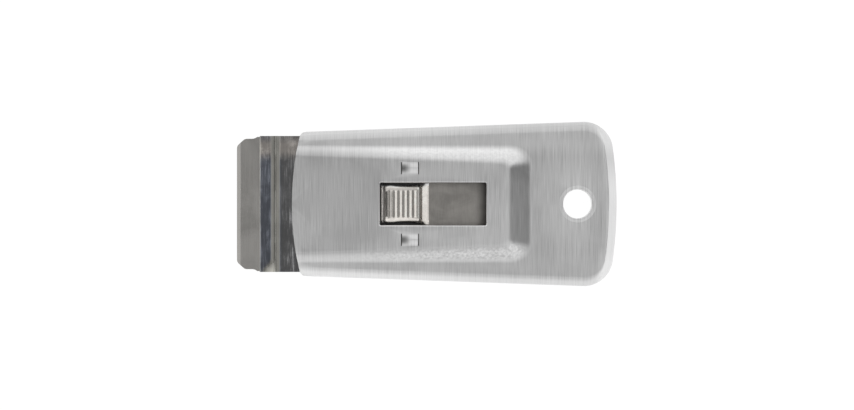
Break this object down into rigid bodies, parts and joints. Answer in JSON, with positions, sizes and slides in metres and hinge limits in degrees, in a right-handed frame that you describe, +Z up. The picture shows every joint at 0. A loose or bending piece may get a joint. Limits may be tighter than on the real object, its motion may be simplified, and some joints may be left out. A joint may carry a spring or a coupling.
{
  "type": "window scraper",
  "caption": "Pocket window scraper: pressed steel housing with a raised channel, a ribbed thumb slide that draws the blade in, and a hole to hang it by.",
  "frame": {"origin": "on the resting surface, under the middle of the bounding box", "axes": "+X along the length from the blade to the hanging hole, +Y across the width, +Z up out of the face with the window"},
  "size_m": [0.1106, 0.0478, 0.0088],
  "materials": {
    "brushed_shell": "brushed stainless steel, grain across the width",
    "slide_steel": "rolled stainless steel, rubbed bright on the ribs",
    "polished_jaw": "mirror-bright steel with dark temper colours",
    "blade_steel": "ground blade steel",
    "spring_steel": "plain spring steel"
  },
  "bodies": {
    "housing": {"top_shell": "brushed_shell", "back_plate": "brushed_shell", "hanging_eyelet": "brushed_shell"},
    "slider": {"slide_plate": "slide_steel", "upper_jaw": "polished_jaw", "lower_jaw": "polished_jaw", "detent_spring": "spring_steel", "carrier_rivet_left": "spring_steel", "carrier_rivet_right": "spring_steel"},
    "blade_body": {"blade": "blade_steel"}
  },
  "joints": [
    {"name": "slider_slide", "type": "slide", "parent": "housing", "child": "slider", "axis": [1, 0, 0], "range_m": [0, 0.017], "deforming": ["detent_spring"]},
    {"name": "blade_release", "type": "slide", "parent": "slider", "child": "blade_body", "axis": [-1, 0, 0], "range_m": [0, 0.014]}
  ]
}
